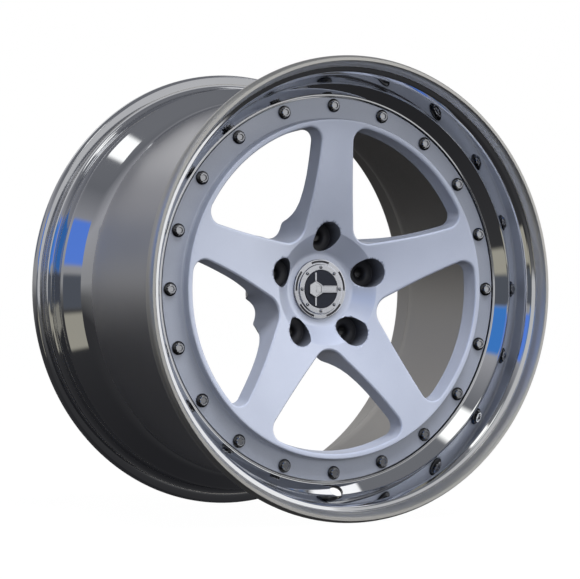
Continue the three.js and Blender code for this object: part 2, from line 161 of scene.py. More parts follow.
# %% [markdown]
# Every piece ends in the same way: smooth shading that breaks at real edges, finishes, the
# body that it moves with, and the node that it stands for. Some pieces carry two finishes,
# so a function picks one for each face. Weighted normals keep broad faces true, so that a
# mirror finish reflects cleanly.

# %% Finish a mesh as an object
def finish(name, bm, materials, body, nodes, sharp=35, pick=None):
    bmesh.ops.recalc_face_normals(bm, faces=bm.faces)
    for f in bm.faces:
        f.smooth = True
        if pick:
            f.material_index = pick(f)
    for e in bm.edges:
        if len(e.link_faces) == 2 and e.calc_face_angle(0) > math.radians(sharp):
            e.smooth = False
    mesh = bpy.data.meshes.new(name)
    bm.to_mesh(mesh)
    bm.free()
    for material in materials:
        mesh.materials.append(material)
    piece = bpy.data.objects.new(name, mesh)
    bpy.context.scene.collection.objects.link(piece)
    normals = piece.modifiers.new("true_faces", "WEIGHTED_NORMAL")
    normals.keep_sharp = True
    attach(piece, body)
    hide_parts(*nodes)
    triangles = sum(len(p.vertices) - 2 for p in mesh.polygons)
    print(f"{name}: {triangles} triangles")
    return piece


# %% [markdown]
# Every finish is a small node graph on the Principled shader. The patterns read Object
# coordinates: each piece sits at the origin, so its radius from the axis is the length of
# the X and Z parts, and lathe marks are rings of equal radius or equal station. A painted
# texture would need seams on a turned part, and rings in the shader have none.

# %% Helpers for the finishes
def new_finish(name, **values):
    material = bpy.data.materials.new(name)
    material.use_nodes = True
    shader = material.node_tree.nodes["Principled BSDF"]
    for key, value in values.items():
        shader.inputs[key.replace("_", " ")].default_value = value
    return material, shader


def add_node(owner, kind, inputs=(), **settings):
    node = owner.node_tree.nodes.new(kind)
    for key, value in settings.items():
        setattr(node, key, value)
    for key, value in dict(inputs).items():
        if isinstance(value, bpy.types.NodeSocket):
            owner.node_tree.links.new(value, node.inputs[key])
        else:
            node.inputs[key].default_value = value
    return node


def join(material, source, target):
    material.node_tree.links.new(source, target)


def place_on(material):
    return add_node(material, "ShaderNodeTexCoord").outputs["Object"]


def radius_and_station(material):
    parts = add_node(material, "ShaderNodeSeparateXYZ", {0: place_on(material)})
    flat = add_node(
        material, "ShaderNodeCombineXYZ", {"X": parts.outputs["X"], "Y": parts.outputs["Z"]}
    )
    radius = add_node(
        material, "ShaderNodeVectorMath", {0: flat.outputs[0]}, operation="LENGTH"
    ).outputs["Value"]
    return radius, parts.outputs["Y"]


def noise(material, scale, detail=3, roughness=0.5, vector=None):
    inputs = {"Scale": scale, "Detail": detail, "Roughness": roughness}
    inputs["Vector"] = vector or place_on(material)
    return add_node(material, "ShaderNodeTexNoise", inputs).outputs["Fac"]


# %% Helpers for patterns, colour and relief
def spread(material, value, low, high, from_low=0.3, from_high=0.7):
    inputs = {"Value": value, "From Min": from_low, "From Max": from_high}
    inputs.update({"To Min": low, "To Max": high})
    return add_node(material, "ShaderNodeMapRange", inputs).outputs["Result"]


def tint(material, factor, dark, light):
    ramp = add_node(material, "ShaderNodeValToRGB", {"Fac": factor})
    ramp.color_ramp.elements[0].color = (*dark, 1)
    ramp.color_ramp.elements[1].color = (*light, 1)
    return ramp.outputs["Color"]


def bump(material, shader, height, distance, strength=1.0):
    node = add_node(
        material,
        "ShaderNodeBump",
        {"Height": height, "Distance": distance, "Strength": strength},
    )
    join(material, node.outputs["Normal"], shader.inputs["Normal"])


def math_node(owner, operation, a, b=0.0, c=0.0):
    return add_node(owner, "ShaderNodeMath", {0: a, 1: b, 2: c}, operation=operation).outputs[0]


def lathe_marks(material, pitch):
    radius, station = radius_and_station(material)
    across = math_node(material, "ADD", radius, station)
    rings = add_node(material, "ShaderNodeCombineXYZ", {"X": across})
    return noise(material, 1 / (pitch * MM), detail=2, vector=rings.outputs[0])


# %% [markdown]
# The lip is polished aluminium: a mirror with the faintest trace of the polishing wheel.
# Its rolled edge and the barrel's drop centre are left as turned, which is a satin grey.
# Both are the same metal, so one function makes them with different roughness.

# %% Bare aluminium finishes
def aluminium(name, dark, light, smooth, rough, marks, depth):
    material, shader = new_finish(name, Metallic=1.0)
    cloud = noise(material, 9, detail=4)
    join(material, tint(material, cloud, dark, light), shader.inputs["Base Color"])
    turned = lathe_marks(material, marks)
    mixed = math_node(material, "ADD", cloud, turned)
    uneven = spread(material, mixed, smooth, rough, 0.7, 1.3)
    join(material, uneven, shader.inputs["Roughness"])
    bump(material, shader, turned, depth * MM)
    return material


lip_mirror = aluminium(
    "lip_mirror", (0.66, 0.67, 0.69), (0.74, 0.75, 0.77), 0.02, 0.05, 0.9, 0.0006
)
rolled_edge = aluminium(
    "rolled_edge", (0.70, 0.69, 0.66), (0.78, 0.77, 0.74), 0.40, 0.50, 0.8, 0.002
)
seat_mirror = aluminium(
    "seat_mirror", (0.62, 0.63, 0.66), (0.72, 0.73, 0.76), 0.03, 0.09, 0.7, 0.001
)
well_satin = aluminium(
    "well_satin", (0.58, 0.58, 0.60), (0.66, 0.66, 0.68), 0.30, 0.40, 0.3, 0.004
)
inside_satin = aluminium(
    "inside_satin", (0.56, 0.54, 0.51), (0.64, 0.62, 0.59), 0.40, 0.5, 0.3, 0.003
)
print("bare metal finishes ready")

# %% [markdown]
# The disc is painted silver under a clear coat. Real silver paint holds fine flakes, which
# give a soft metallic base. The coat on top gives the sharp highlights. A faint orange-peel
# bump keeps the gloss from looking like glass. A plain grey would look like plastic here.

# %% Painted and plated finishes
def lacquer(name, dark, light, rough):
    material, shader = new_finish(
        name, Metallic=0.3, Coat_Weight=0.6, Coat_Roughness=0.06, Coat_IOR=1.45
    )
    flakes = noise(material, 2600, detail=1)
    drift = noise(material, 14, detail=2)
    mixed = math_node(material, "ADD", flakes, drift)
    half = spread(material, mixed, 0, 1, 0.75, 1.25)
    join(material, tint(material, half, dark, light), shader.inputs["Base Color"])
    uneven = spread(material, flakes, rough - 0.04, rough + 0.05)
    join(material, uneven, shader.inputs["Roughness"])
    bump(material, shader, noise(material, 420, detail=1), 0.0035 * MM)
    return material


disc_silver = lacquer("disc_silver", (0.47, 0.50, 0.58), (0.54, 0.57, 0.65), 0.34)
# The bolting land's darker silver is painted shade from the lip above it.
land_shade_silver = lacquer("land_shade_silver", (0.34, 0.36, 0.41), (0.41, 0.43, 0.48), 0.36)
bolt_chrome = aluminium(
    "bolt_chrome", (0.48, 0.49, 0.52), (0.62, 0.63, 0.66), 0.05, 0.12, 0.5, 0.001
)
# Near-black colour for the bolts' flanges and flutes: painted shade and painted dark reflection.
bolt_flange = aluminium(
    "bolt_flange", (0.055, 0.057, 0.062), (0.10, 0.102, 0.108), 0.12, 0.22, 0.5, 0.001
)
nut_zinc = aluminium("nut_zinc", (0.40, 0.41, 0.42), (0.52, 0.52, 0.51), 0.3, 0.45, 0.4, 0.004)
print("painted and plated finishes ready")

# %% [markdown]
# Inside a deep, narrow pocket the colour darkens towards the floor, and the seats of the wheel nuts
# are near black: both are painted shade, where little light reaches. A second map could mark the
# depth, but the station of each point says it already, so the colour fades along it.

# %% Painted shade inside the stud pockets
def depth_shade_paint(name, deep, mouth, deep_station, mouth_station):
    material, shader = new_finish(name, Metallic=0.2, Coat_Weight=0.15, Coat_Roughness=0.2)
    along = radius_and_station(material)[1]
    share = spread(material, along, 0, 1, -deep_station * MM, -mouth_station * MM)
    flakes = noise(material, 900, detail=2)
    mixed = math_node(material, "MULTIPLY_ADD", flakes, 0.25, share)
    join(material, tint(material, mixed, deep, mouth), shader.inputs["Base Color"])
    join(material, spread(material, flakes, 0.4, 0.5), shader.inputs["Roughness"])
    return material


# Both are painted shade: darker with depth on the walls, near black on the nut seats.
pocket_depth_shade = depth_shade_paint("pocket_depth_shade", (0.012, 0.012, 0.014), (0.20, 0.21, 0.24), 62, 92)
nut_seat = depth_shade_paint("nut_seat", (0.006, 0.006, 0.007), (0.03, 0.03, 0.033), 55, 66)
print("pocket finishes ready")

# %% [markdown]
# The outer lip is spun from sheet or turned from a forged ring. It has a bolting flange
# behind the disc, a short steep step, a long mirror wall and a rolled edge with the bead
# seat behind it. Stacked rings with bevels would leave seams in the mirror, so one profile
# and one spin make it, and the corners carry their own rounds.

# %% The lip's sizes, and the edge that both halves of the rim share
turn_steps = 192
flange_bore = 189
lip_front = 84.7
lip_back = 78.7
lip_foot = 208.3
ledge_end = 210.5
ledge = 94.9
shoulder = (222.4, 105.2)
throat = (228.8, 131)
inner_face = 133.35
bead_seat = 231
lip_wall = 4.5


def tyre_side(side):
    edge = [
        (flange_radius - 3.2, overall, 2.6),
        (flange_radius, overall - 4.2, 3),
        (flange_radius, inner_face + 5, 2),
        (flange_radius - 1.8, inner_face + 1.4, 1),
        (flange_radius - 7.7, inner_face, 3),
        (bead_seat + 3.5, inner_face, 2.4),
        (bead_seat, inner_face - 3.5, 2.4),
        (229.1, 111.35, 1.4),
        (230.6, 108.1, 1.6),
        (229.1, 104.85, 1.4),
    ]
    return [(radius, side * station, cut) for radius, station, cut in edge]


# %% The lip's profile
def lip_corners():
    rise = Vector((shoulder[0] - ledge_end, shoulder[1] - ledge)).normalized()
    outwards = Vector((rise.y, -rise.x)) * lip_wall
    outer_step = Vector(shoulder) + outwards
    outer_foot = Vector((ledge_end, ledge)) + outwards
    return [
        (flange_bore, lip_front, 0.5),
        (lip_foot, lip_front, 0.2),
        (lip_foot, ledge, 0.5),
        (ledge_end, ledge, 0.6),
        (*shoulder, 2.2),
        (*throat, 1.6),
        (231.9, 135.6, 1.4),
        (237.2, 137.3, 1.8),
        (239.6, 145.2, 3.2),
        (243.2, overall, 2.4),
        *tyre_side(1),
        (outer_step.x, outer_step.y, 2),
        (outer_foot.x, outer_foot.y, 1.5),
        (ledge_end + 2.4, lip_back, 0.6),
        (flange_bore, lip_back, 0.5),
    ]


# %% Spin the lip and sort its finishes
def face_place(f):
    middle = f.calc_center_median() / MM
    return math.hypot(middle.x, middle.z), -middle.y


def lip_finish(f):
    radius, station = face_place(f)
    rolled = radius > 236.5 and station > 136.4
    return 1 if rolled else 0


bm = bmesh.new()
turn(bm, lip_corners(), turn_steps)
outer_lip = finish(
    "lip_polished",
    bm,
    [lip_mirror, rolled_edge],
    "wheel",
    ["outer_lip"],
    pick=lip_finish,
)

# %% [markdown]
# The valve hole is drilled square to the steep step, at the bottom of the wheel, and has no valve in
# it. A cutter object and a Boolean modifier drill it, and the result is applied, so that the mesh
# itself has the hole. Building the hole into the spin would break it.

# %% Drill the valve hole
def cut_with(piece, cutter_bm, name):
    mesh = bpy.data.meshes.new(name)
    cutter_bm.to_mesh(mesh)
    cutter_bm.free()
    cutter = bpy.data.objects.new(name, mesh)
    bpy.context.scene.collection.objects.link(cutter)
    cut = piece.modifiers.new("cut", "BOOLEAN")
    cut.object = cutter
    cut.solver = "MANIFOLD"
    cut.material_mode = "INDEX"
    piece.modifiers.move(len(piece.modifiers) - 1, 0)
    bpy.context.view_layer.update()
    with bpy.context.temp_override(object=piece, active_object=piece):
        bpy.ops.object.modifier_apply(modifier="cut")
    bpy.data.objects.remove(cutter)
    print(f"{name}: {piece.name} now has {len(piece.data.polygons)} faces")


valve_radius = 7.4
step_middle = ((ledge_end + shoulder[0]) / 2 + 0.7, (ledge + shoulder[1]) / 2 + 0.6)
step_angle = math.atan2(shoulder[1] - ledge, shoulder[0] - ledge_end)
drill = bmesh.new()
bmesh.ops.create_cone(
    drill,
    cap_ends=True,
    segments=48,
    radius1=valve_radius * MM,
    radius2=valve_radius * MM,
    depth=30 * MM,
)
lean = Matrix.Rotation(math.pi / 2 - step_angle, 3, "X")
bmesh.ops.rotate(drill, verts=drill.verts, matrix=lean)
drill_place = (0, -step_middle[1] * MM, -step_middle[0] * MM)
bmesh.ops.translate(drill, verts=drill.verts, vec=drill_place)
cut_with(outer_lip, drill, "valve_drill")

# %% [markdown]
# The inner barrel carries the rear bead seat. The seat and the ramp beside it are polished,
# and the drop centre and the inside are left satin. Faces take their finish from where they
# lie on the profile, so the two finishes meet on a turned line, as they do on the real part.

# %% The barrel's sizes and profile
barrel_front = 78.4
barrel_back = 72.4
well = 211
well_inside = 206.5
ramp_foot = (214.5, -84)
seat_inside = 224.6


def barrel_corners():
    return [
        (flange_bore, barrel_front, 0.5),
        (well - 3, barrel_front, 0.8),
        (well, barrel_front - 3, 0.8),
        (well, -62, 5),
        (ramp_foot[0] - 2.4, -75, 5),
        (*ramp_foot, 4),
        *reversed(tyre_side(-1)),
        (238, -overall, 1),
        (235.5, -overall + 2.2, 1.2),
        (231.2, -overall + 8, 2.5),
        (seat_inside + 1.4, -inner_face + 2, 3),
        (seat_inside, -104.85, 4),
        (ramp_foot[0] - lip_wall + 0.8, ramp_foot[1] + 1, 5),
        (well_inside + 0.8, -71, 4),
        (well_inside, -58, 4),
        (well_inside, barrel_back, 2),
        (flange_bore, barrel_back, 0.5),
    ]


# %% Spin the barrel and sort its finishes
def barrel_finish(f):
    radius, station = face_place(f)
    middle = f.calc_center_median()
    outside = f.normal.x * middle.x + f.normal.z * middle.z > 0
    if station < -overall + 9 and radius > 229:
        return 0
    if outside and station < -66:
        return 0
    return 1 if outside else 2


bm = bmesh.new()
turn(bm, barrel_corners(), turn_steps)
finish(
    "barrel_turned",
    bm,
    [seat_mirror, well_satin, inside_satin],
    "wheel",
    ["inner_barrel"],
    pick=barrel_finish,
)

# %% [markdown]
# The forged disc is one piece of metal: a dished hub, five spokes and a bolting ring.
# It is made from five equal cells, each one centred on a window. A cell starts as the
# window's outline. Its loop is extruded again and again: outwards over the front face to
# the middle of the two spokes, and backwards down the window's wall to the rear face.
# The height of every point comes from the disc's front and rear profiles. Cutting windows
# out of a turned blank would be shorter, but it leaves no loops for the rounded edges.

# %% The disc's profiles and the outline of a spoke
window_radius = 177
face_radius = 183
lug_circle = 57.15
cell_inner = 61
cell_outer = 180.2
spoke_tip = 154
spoke_root = 85
tip_half = 20.4
growth = 7.5
spokes = 5
half_pitch = math.pi / spokes
dish_edge = 83.3
bulge = 3.2
rear_profile = [
    (61, 40),
    (77.6, 40),
    (79.4, 41.2),
    (80.6, 44),
    (82.5, 51),
    (86.5, 59.5),
    (91, 65.3),
    (98, 70.2),
    (110, 74.4),
    (125, 78.1),
    (146, 81.2),
    (160, 82.9),
    (173, 85),
    (184, 85),
]


# %% Heights of the front and rear, and the width of a spoke
def front_height(radius):
    share = min(max((radius - cell_inner) / (face_radius - 1 - cell_inner), 0), 1)
    return dish_edge + (face - dish_edge) * share + bulge * math.sin(math.pi * share)


def rear_height(radius):
    for (r0, s0), (r1, s1) in zip(rear_profile, rear_profile[1:]):
        if radius <= r1:
            t = min(max((radius - r0) / (r1 - r0), 0), 1)
            return s0 + (s1 - s0) * t
    return rear_profile[-1][1]


def spoke_half(along):
    inwards = (spoke_tip - along) / (spoke_tip - spoke_root)
    return tip_half + growth * (inwards + inwards * abs(inwards)) / 2


# %% [markdown]
# The window's outline is drawn with its centre line along X. Half of it is enough: the
# outer arc, a rounded corner, the spoke's edge, which flares towards the hub, and the inner
# corner. The other half is its mirror image, as on the real disc.

# %% Outline of a window
def turned(point, angle):
    c, s = math.cos(angle), math.sin(angle)
    return Vector((point.x * c - point.y * s, point.x * s + point.y * c))


def fillet(previous, corner, following, radius, steps=10):
    a = (previous - corner).normalized()
    b = (following - corner).normalized()
    half = a.angle(b) / 2
    reach = radius / math.tan(half)
    centre = corner + (a + b).normalized() * radius / math.sin(half)
    start = corner + a * reach - centre
    end = corner + b * reach - centre
    sweep = math.atan2(start.x * end.y - start.y * end.x, start.dot(end))
    return [centre + turned(start, sweep * k / steps) for k in range(steps + 1)]


def edge_at(along):
    return turned(Vector((along, -spoke_half(along))), half_pitch)


def window_half():
    tip_along = math.sqrt(window_radius**2 - spoke_half(window_radius) ** 2)
    corner = edge_at(tip_along)
    arc_end = math.atan2(corner.y, corner.x)
    arc = [turned(Vector((window_radius, 0)), arc_end * 0.82 * k / 24) for k in range(25)]
    edge = [edge_at(tip_along - 16 - (tip_along - 16 - spoke_root) * k / 16) for k in range(17)]
    slope = (edge[-1] - edge[-2]).normalized()
    apex = Vector((edge[-1].x - edge[-1].y * slope.x / slope.y, 0))
    mirrored = Vector((edge[-1].x, -edge[-1].y))
    rim_corner = fillet(arc[-1], corner, edge[0], 14)
    hub_corner = fillet(edge[-1], apex, mirrored, 20, 20)[:11]
    return [*arc[:-1], *rim_corner, *edge[1:], *hub_corner]


half_outline = window_half()
print("window from radius", round(half_outline[-1].x, 1), "to", round(half_outline[0].x, 1))

# %% [markdown]
# A ray starts in the middle of the window, crosses the outline once and ends on the edge of
# the cell: at the middle of the spoke, or on the inner or outer circle. Two rays go exactly
# to the cell's corners. Filling the front face with triangles would be quicker, but it
# shades unevenly, and rays give even quads.

# %% Rays from the middle of the window to its outline and to the edge of the cell
cell_middle = Vector((126, 0))
ray_step = 1.6


def crossing(direction):
    for a, b in zip(half_outline, half_outline[1:]):
        side = b - a
        cross = direction.x * side.y - direction.y * side.x
        if abs(cross) < 1e-9:
            continue
        gap = a - cell_middle
        reach = (gap.x * side.y - gap.y * side.x) / cross
        share = (gap.x * direction.y - gap.y * direction.x) / cross
        if reach > 0 and -1e-6 <= share <= 1 + 1e-6:
            outward = Vector((side.y, -side.x)).normalized()
            if outward.dot(direction) < 0:
                outward.negate()
            return cell_middle + direction * reach, outward
    raise ValueError("a ray misses the outline")


# %% How far a ray goes to the edge of the cell
def circle_reach(direction, radius, far):
    b = cell_middle.dot(direction)
    inside = b * b - cell_middle.length_squared + radius * radius
    if inside < 0:
        return math.inf
    reach = -b + math.sqrt(inside) if far else -b - math.sqrt(inside)
    return reach if reach > 0 else math.inf


def cell_reach(direction):
    across = Vector((-math.sin(half_pitch), math.cos(half_pitch)))
    slope = direction.dot(across)
    spoke = -cell_middle.dot(across) / slope if slope > 1e-9 else math.inf
    outer = circle_reach(direction, cell_outer, True)
    return min(spoke, outer, circle_reach(direction, cell_inner, False))


# %% Gather the rays of half a cell
def bearing(vector):
    return math.atan2(max(vector.y, 0), vector.x)


def cell_rays():
    corners = [turned(Vector((radius, 0)), half_pitch) for radius in (cell_outer, cell_inner)]
    ends = [half_outline[0], *corners, half_outline[-1]]
    exact = sorted(bearing(p - cell_middle) for p in ends)
    spaced = [bearing(p - cell_middle) for p in half_outline[1:-1]]
    spaced += [math.radians(ray_step * k) for k in range(1, int(180 / ray_step))]
    angles = list(exact)
    for angle in sorted(spaced):
        if min(abs(angle - kept) for kept in angles) > math.radians(ray_step) * 0.45:
            angles.append(angle)
    kept = [Vector((math.cos(angle), math.sin(angle))) for angle in sorted(angles)]
    rays = []
    for d in kept:
        point, outward = crossing(d)
        rays.append((point, outward, cell_middle + d * cell_reach(d)))
    for end in (0, -1):
        rays[end][1].y = 0
        rays[end][1].normalize()
    return rays


rays = cell_rays()
print("rays in half a cell:", len(rays))

# %% [markdown]
# The steps below are the loops of one cell, in order: across the front face, round the
# front edge, down the wall, round the rear edge and back across the rear face. The wall
# leans in towards the rear, more so near the hub, as a forging has to for its die.

# %% The loops of one cell
front_round = 2.2
rear_round = 1.6
front_rings = 9
wall_rings = 7
rear_rings = 16


def draft_of(point):
    near_hub = min(max((120 - point.length) / 50, 0), 1)
    return 2.2 + 3.2 * near_hub * near_hub


def cell_loops():
    loops = []
    for k in range(front_rings + 1):
        t = k / front_rings
        plan = [edge.lerp(p + n * front_round, t) for p, n, edge in rays]
        loops.append([(q, front_height(q.length)) for q in plan])
    for k in range(1, 6):
        a = math.pi / 2 * k / 5
        loop = []
        for p, n, edge in rays:
            top = front_height((p + n * front_round).length)
            plan = p + n * front_round * (1 - math.sin(a))
            loop.append((plan, top - front_round * (1 - math.cos(a))))
        loops.append(loop)
    tops = [station for plan, station in loops[-1]]
    feet = [p - n * draft_of(p) for p, n, edge in rays]
    for k in range(1, wall_rings + 1):
        t = k / wall_rings
        loop = []
        for (p, n, edge), foot, top in zip(rays, feet, tops):
            low = rear_height((foot + n * rear_round).length) + rear_round
            loop.append((p.lerp(foot, t**1.5), top + (low - top) * t))
        loops.append(loop)
    for k in range(1, 5):
        a = math.pi / 2 * k / 4
        loop = []
        for (p, n, edge), foot in zip(rays, feet):
            low = rear_height((foot + n * rear_round).length)
            plan = foot + n * rear_round * (1 - math.cos(a))
            loop.append((plan, low + rear_round * (1 - math.sin(a))))
        loops.append(loop)
    for k in range(1, rear_rings + 1):
        t = k / rear_rings
        plan = [(foot + n * rear_round).lerp(edge, t) for (p, n, edge), foot in zip(rays, feet)]
        loops.append([(q, rear_height(q.length)) for q in plan])
    return loops


loops = cell_loops()
print("loops in a cell:", len(loops))

# %% [markdown]
# Each new loop is the last one extruded, and a number kept on its vertices says which ray
# they belong to. The half cell is mirrored, and the cell is spun into five. An Array
# modifier could copy it, but the copies have to be merged before the hub joins them.

# %% Extrude, mirror and spin the cells
def set_loop(verts, layer, loop):
    for v in verts:
        plan, station = loop[v[layer]]
        v.co = (plan.x * MM, -station * MM, plan.y * MM)


disc = bmesh.new()
ray_number = disc.verts.layers.int.new("ray")
chain = [disc.verts.new((i, 0, 0)) for i in range(len(rays))]
for i, v in enumerate(chain):
    v[ray_number] = i
edges = [disc.edges.new(pair) for pair in zip(chain, chain[1:])]
set_loop(chain, ray_number, loops[0])
for loop in loops[1:]:
    made = bmesh.ops.extrude_edge_only(disc, edges=edges)["geom"]
    edges = [e for e in made if isinstance(e, bmesh.types.BMEdge)]
    set_loop([v for v in made if isinstance(v, bmesh.types.BMVert)], ray_number, loop)
bmesh.ops.mirror(disc, geom=[*disc.verts, *disc.edges, *disc.faces], axis="Z", merge_dist=1e-6)
first_window = math.pi / 2 - half_pitch
bmesh.ops.rotate(disc, verts=disc.verts, matrix=Matrix.Rotation(-first_window, 3, "Y"))
bmesh.ops.spin(
    disc,
    geom=[*disc.verts, *disc.edges, *disc.faces],
    axis=(0, 1, 0),
    angle=2 * math.pi * (spokes - 1) / spokes,
    steps=spokes - 1,
    use_duplicate=True,
)
bmesh.ops.remove_doubles(disc, verts=disc.verts, dist=1e-5)
print("cells joined:", len(disc.faces), "faces")

# %% [markdown]
# The five cells leave two open circles on the front face and two on the rear. The outer
# front circle is extruded over the rim of the face, down to the bolting land, round the
# edge and home to the rear circle. The inner one goes down the dish, over the cap's seat,
# through the bore and out over the hub pad. The rings stay part of the same mesh, so the
# paint flows over them without a seam.

# %% Extrude the bolting ring and the hub
def open_circle(bm, radius, station):
    def on_circle(v):
        near = abs(math.hypot(v.co.x, v.co.z) / MM - radius) < 0.05
        return near and abs(-v.co.y / MM - station) < 1

    return [e for e in bm.edges if e.is_boundary and all(on_circle(v) for v in e.verts)]


def follow(bm, edges, points):
    for point in points:
        made = bmesh.ops.extrude_edge_only(bm, edges=edges)["geom"]
        edges = [e for e in made if isinstance(e, bmesh.types.BMEdge)]
        for v in made:
            if isinstance(v, bmesh.types.BMVert):
                scale = point.x * MM / math.hypot(v.co.x, v.co.z)
                v.co = (v.co.x * scale, -point.y * MM, v.co.z * scale)


cap_bore = 29.6
cap_seat = 64
rim_corners = [
    (cell_outer, front_height(cell_outer)),
    (face_radius, face, 1.5),
    (face_radius, land, 3),
    (disc_radius, land, 0.7),
    (disc_radius, 85, 0.5),
    (cell_outer, rear_height(cell_outer)),
]
hub_corners = [
    (cell_inner, dish_edge),
    (58, 80.5),
    (54, 76.7),
    (50, 72.9),
    (46, 69.2),
    (40.5, cap_seat, 3.2),
    (cap_bore, cap_seat, 0.7),
    (cap_bore, 51, 0.3),
    (33.05, 51, 0.5),
    (33.05, pad, 1),
    (cell_inner, pad),
]
for corners in (rim_corners, hub_corners):
    follow(disc, open_circle(disc, *corners[0]), rounded(corners, closed=False)[1:])
bmesh.ops.remove_doubles(disc, verts=disc.verts, dist=1e-5)
print("open edges left on the disc:", sum(e.is_boundary for e in disc.edges))


# %% [markdown]
# The bolting land sits lower than the face, in the lip's shadow, and gets a darker silver: painted
# shade. Painting it with a mask in the shader would work, but a face's radius already tells which side
# of the rim's edge it is on, and keeps the colour change sharp.

# %% Finish the disc, with the painted shade on its bolting land
def land_shade_pick(f):
    radius, station = face_place(f)
    return 1 if radius > face_radius + 0.3 else 0


forged_disc = finish(
    "forged_disc",
    disc,
    [disc_silver, land_shade_silver, pocket_depth_shade, nut_seat],
    "wheel",
    ["centre_disc"],
    sharp=28,
    pick=land_shade_pick,
)

# %% [markdown]
# The five stud pockets are milled square to the pad, through the spokes and the dish. Each
# has a stud hole, a cone that centres the wheel nut, and a wall that clears the socket.
# Their mouths cross sloping faces, so a Boolean cut, like the real mill, finds the edge.
# The cutter's faces carry the pocket's painted shade into the disc. The hole is kept narrower than the
# design's, or the bright backdrop would show through it from the front.

# %% Mill the stud pockets
pocket_radius = 15.75
pocket_floor = pad + 20.5
floor_round = 0.8
seat_back = pocket_floor - 3
stud_hole = 5.1
pocket_corners = [
    (0, pad - 10),
    (stud_hole, pad - 10),
    (stud_hole, seat_back),
    (9.6, pocket_floor),
    (pocket_radius, pocket_floor, floor_round),
    (pocket_radius, face + 10),
    (0, face + 10),
]
spoke_angles = [math.pi / 2 + 2 * math.pi * i / spokes for i in range(spokes)]
lug_spots = [(lug_circle * math.cos(a), lug_circle * math.sin(a)) for a in spoke_angles]
mill = bmesh.new()
for spot in lug_spots:
    turn(mill, pocket_corners, 64, spot)
bmesh.ops.recalc_face_normals(mill, faces=mill.faces)
for f in mill.faces:
    # Walls take the painted depth shade; the floor, cone and hole take the near-black painted shade.
    wall = face_place(f)[1] > pocket_floor + floor_round + 0.1
    f.material_index = 2 if wall else 3
    f.smooth = True
cut_with(forged_disc, mill, "pocket_mill")

# %% [markdown]
# The twenty bolts clamp the disc, the lip and the barrel. Each has a round flange under a
# twelve-point head with a dished top. Two hexagons a twelfth of a turn apart make the
# twelve points, so the head's outline is a circle whose points alternate between two radii.
# The flange's edge and the flutes get a near-black colour: painted shade and painted dark reflection.

# %% Assembly bolts
head_radius = 5.1
head_back = land + 2.4
head_chamfer = 0.3
head_front = land + bolt_head - head_chamfer
head_dish = 1.5
valley = 0.88  # of the head's radius, between two points
bolt_corners = [
    (0, 62.9),
    (3.1, 62.9),
    (4, 63.6),
    (3.5, 64.2),
    (4, 64.8),
    (3.5, 65.4),
    (4, 66),
    (4, land + 0.3),
    (7.4, land + 0.3, 0.2),
    (7.4, land + 1.5, 0.5),
    (5.6, head_back, 0.5),
    (0, head_back),
]


# %% The twelve-point head
def push(bm, top, distance):
    grown = bmesh.ops.extrude_face_region(bm, geom=[top])["geom"]
    top = next(g for g in grown if isinstance(g, bmesh.types.BMFace))
    bmesh.ops.translate(bm, verts=top.verts, vec=(0, -distance * MM, 0))
    return top


def twelve_point_head(bm, at):
    made = bmesh.ops.create_circle(bm, cap_ends=True, segments=24, radius=head_radius * MM)
    verts = made["verts"]
    for v in verts[1::2]:
        v.co *= valley
    bmesh.ops.rotate(bm, verts=verts, matrix=Matrix.Rotation(math.pi / 2, 3, "X"))
    bmesh.ops.translate(bm, verts=verts, vec=(at[0] * MM, -head_back * MM, at[1] * MM))
    top = push(bm, verts[0].link_faces[0], head_front - head_back)
    bmesh.ops.inset_region(bm, faces=[top], thickness=0.45 * MM, depth=head_chamfer * MM)
    bmesh.ops.inset_region(bm, faces=[top], thickness=head_radius * 0.2 * MM)
    bmesh.ops.inset_region(bm, faces=[top], thickness=0.5 * MM, depth=-head_dish * MM)


# %% Make the twenty bolts
def distance_from(spot, f):
    middle = f.calc_center_median() / MM
    return math.hypot(middle.x - spot[0], middle.z - spot[1])


flange_starts = 5.3
flutes_start = 4.6


# Faces on the flange and on the flutes' sides take the painted shade.
def bolt_shade_pick(f):
    out = distance_from(spot, f)
    flute = out > flutes_start and abs(f.normal.y) < 0.3
    return 1 if out > flange_starts or flute else 0


for name in bolt_names:
    bm = bmesh.new()
    spot = spot_of(name)
    turn(bm, bolt_corners, 32, spot)
    twelve_point_head(bm, spot)
    finishes = [bolt_chrome, bolt_flange]
    title = name.replace("assembly", "twelve_point")
    finish(title, bm, finishes, "wheel", [name], 25, pick=bolt_shade_pick)

# %% [markdown]
# Behind the barrel's flange each bolt has a hexagon nut with a washer face of its own. A
# hexagon is a turned ring with only six steps, so the same tool makes both parts. The
# nut's bore is a little wide, so that its flats clear the thread.

# %% Assembly nuts
nut_front = barrel_back - 0.3
nut_back = nut_front - 7.5
nut_washer = [
    (4.3, nut_front),
    (7.2, nut_front, 0.2),
    (7.2, nut_front - 1.2, 0.3),
    (5.9, nut_front - 2, 0.2),
    (4.3, nut_front - 2),
]
nut_hexagon = [
    (4.75, nut_front - 1.9),
    (6.5, nut_front - 1.9),
    (6.5, nut_back + 0.5, 0.3),
    (6, nut_back),
    (4.75, nut_back),
]
for name in nut_names:
    bm = bmesh.new()
    spot = spot_of(name)
    turn(bm, nut_washer, 24, spot)
    turn(bm, nut_hexagon, 6, spot)
    finish(name.replace("assembly", "flange"), bm, [nut_zinc], "wheel", [name], 25)

# %% [markdown]
# A bead of sealant keeps the air in where the barrel meets the lip. It is a fitter's bead,
# so it is not quite even: a gentle ripple moves its skin in and out round the wheel.
# A noise would do too, but two sines close up exactly after a full turn.

